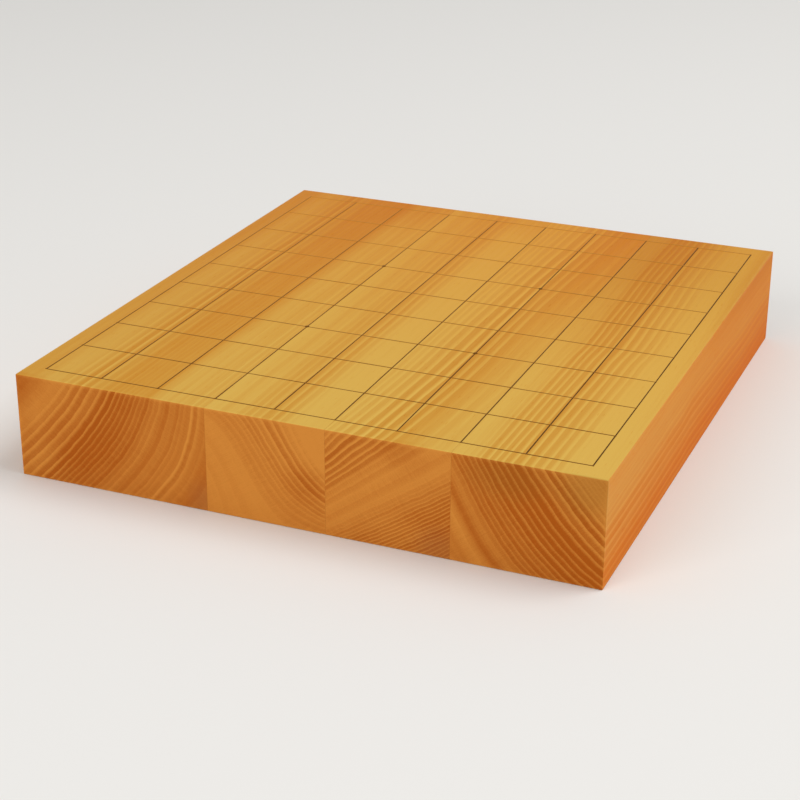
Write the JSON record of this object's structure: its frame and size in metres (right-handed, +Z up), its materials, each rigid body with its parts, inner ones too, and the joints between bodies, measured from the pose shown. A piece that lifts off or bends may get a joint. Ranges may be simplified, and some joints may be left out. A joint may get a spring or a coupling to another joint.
{
  "type": "tabletop shogi board",
  "caption": "Thick wooden tabletop board glued up from softwood staves, with a square grid and star points laid on top in black lacquer, for playing shogi on a table or floor.",
  "frame": {"origin": "centre of the underside, where the board rests on a table", "axes": "+X across the grain, to the right of the player at the near end; +Y along the grain, from the near player to the far player; +Z up, out of the playing surface"},
  "size_m": [0.333, 0.364, 0.0604],
  "materials": {
    "wood": "planed and waxed bare softwood, low satin sheen, warm golden with orange growth rings",
    "glue": "thin amber glue film between staves",
    "lacquer": "black urushi lacquer laid in slightly raised lines, satin gloss"
  },
  "bodies": {
    "root": {"stave_1": "wood", "stave_2": "wood", "stave_3": "wood", "stave_4": "wood", "glue_film_1": "glue", "glue_film_2": "glue", "glue_film_3": "glue", "file_line_0": "lacquer", "file_line_1": "lacquer", "file_line_2": "lacquer", "file_line_3": "lacquer", "file_line_4": "lacquer", "file_line_5": "lacquer", "file_line_6": "lacquer", "file_line_7": "lacquer", "file_line_8": "lacquer", "file_line_9": "lacquer", "rank_line_0": "lacquer", "rank_line_1": "lacquer", "rank_line_2": "lacquer", "rank_line_3": "lacquer", "rank_line_4": "lacquer", "rank_line_5": "lacquer", "rank_line_6": "lacquer", "rank_line_7": "lacquer", "rank_line_8": "lacquer", "rank_line_9": "lacquer", "star_point_3_3": "lacquer", "star_point_3_6": "lacquer", "star_point_6_3": "lacquer", "star_point_6_6": "lacquer"}
  },
  "joints": []
}
